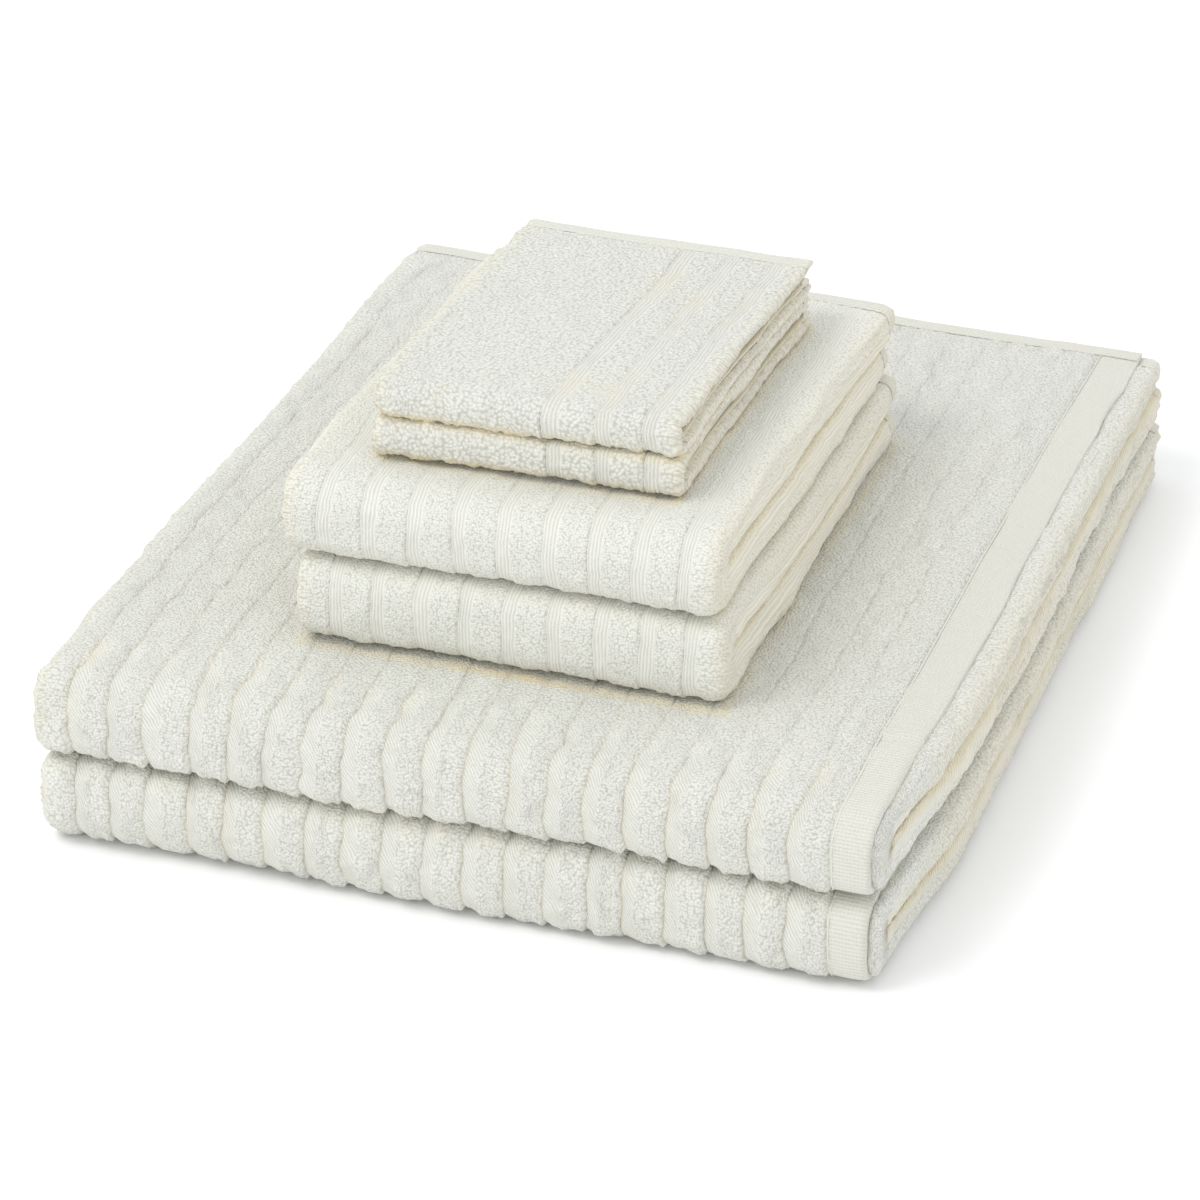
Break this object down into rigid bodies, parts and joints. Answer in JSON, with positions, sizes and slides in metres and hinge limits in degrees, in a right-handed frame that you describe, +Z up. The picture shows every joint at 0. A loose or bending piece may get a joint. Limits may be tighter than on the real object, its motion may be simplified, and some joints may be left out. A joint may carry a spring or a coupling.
{
  "type": "bath towel set",
  "caption": "Stack of ribbed white terry bath towels, hand towels and washcloths, each folded around the front and laid one on another, with flat-woven hems.",
  "frame": {"origin": "middle of the footprint of the bath towels, on the surface they rest on", "axes": "+X to the right along the front folds, +Y from the front folds to the open edges at the back, +Z up"},
  "size_m": [0.2876, 0.3534, 0.1499],
  "materials": {
    "terry": "deep ribbed loop pile, warm white, matt",
    "flat_weave": "flat canvas weave of the turned hems, matt",
    "thread": "white cotton sewing thread"
  },
  "bodies": {
    "bath_towel_lower": {"bath_towel_lower_end_hem_first": "flat_weave", "bath_towel_lower_end_hem_first_thread": "thread", "bath_towel_lower_end_hem_last": "flat_weave", "bath_towel_lower_end_hem_last_thread": "thread", "bath_towel_lower_side_hem_lower": "flat_weave", "bath_towel_lower_side_hem_lower_thread": "thread", "bath_towel_lower_side_hem_upper": "flat_weave", "bath_towel_lower_side_hem_upper_thread": "thread", "bath_towel_lower_terry": "terry"},
    "bath_towel_upper": {"bath_towel_upper_end_hem_first": "flat_weave", "bath_towel_upper_end_hem_first_thread": "thread", "bath_towel_upper_end_hem_last": "flat_weave", "bath_towel_upper_end_hem_last_thread": "thread", "bath_towel_upper_side_hem_lower": "flat_weave", "bath_towel_upper_side_hem_lower_thread": "thread", "bath_towel_upper_side_hem_upper": "flat_weave", "bath_towel_upper_side_hem_upper_thread": "thread", "bath_towel_upper_terry": "terry"},
    "hand_towel_lower": {"hand_towel_lower_end_hem_first": "flat_weave", "hand_towel_lower_end_hem_first_thread": "thread", "hand_towel_lower_end_hem_last": "flat_weave", "hand_towel_lower_end_hem_last_thread": "thread", "hand_towel_lower_side_hem_lower": "flat_weave", "hand_towel_lower_side_hem_lower_thread": "thread", "hand_towel_lower_side_hem_upper": "flat_weave", "hand_towel_lower_side_hem_upper_thread": "thread", "hand_towel_lower_terry": "terry"},
    "hand_towel_upper": {"hand_towel_upper_end_hem_first": "flat_weave", "hand_towel_upper_end_hem_first_thread": "thread", "hand_towel_upper_end_hem_last": "flat_weave", "hand_towel_upper_end_hem_last_thread": "thread", "hand_towel_upper_side_hem_lower": "flat_weave", "hand_towel_upper_side_hem_lower_thread": "thread", "hand_towel_upper_side_hem_upper": "flat_weave", "hand_towel_upper_side_hem_upper_thread": "thread", "hand_towel_upper_terry": "terry"},
    "washcloth_lower": {"washcloth_lower_end_hem_first": "flat_weave", "washcloth_lower_end_hem_first_thread": "thread", "washcloth_lower_end_hem_last": "flat_weave", "washcloth_lower_end_hem_last_thread": "thread", "washcloth_lower_side_hem_lower": "flat_weave", "washcloth_lower_side_hem_lower_thread": "thread", "washcloth_lower_side_hem_upper": "flat_weave", "washcloth_lower_side_hem_upper_thread": "thread", "washcloth_lower_terry": "terry"},
    "washcloth_upper": {"washcloth_upper_end_hem_first": "flat_weave", "washcloth_upper_end_hem_first_thread": "thread", "washcloth_upper_end_hem_last": "flat_weave", "washcloth_upper_end_hem_last_thread": "thread", "washcloth_upper_side_hem_lower": "flat_weave", "washcloth_upper_side_hem_lower_thread": "thread", "washcloth_upper_side_hem_upper": "flat_weave", "washcloth_upper_side_hem_upper_thread": "thread", "washcloth_upper_terry": "terry"}
  },
  "joints": [
    {"name": "lift_bath_towel_upper", "type": "slide", "parent": "bath_towel_lower", "child": "bath_towel_upper", "axis": [0, 0, 1], "range_m": [0, 0.08]},
    {"name": "lift_hand_towel_lower", "type": "slide", "parent": "bath_towel_upper", "child": "hand_towel_lower", "axis": [0, 0, 1], "range_m": [0, 0.08]},
    {"name": "lift_hand_towel_upper", "type": "slide", "parent": "hand_towel_lower", "child": "hand_towel_upper", "axis": [0, 0, 1], "range_m": [0, 0.08]},
    {"name": "lift_washcloth_lower", "type": "slide", "parent": "hand_towel_upper", "child": "washcloth_lower", "axis": [0, 0, 1], "range_m": [0, 0.06]},
    {"name": "lift_washcloth_upper", "type": "slide", "parent": "washcloth_lower", "child": "washcloth_upper", "axis": [0, 0, 1], "range_m": [0, 0.06]}
  ]
}
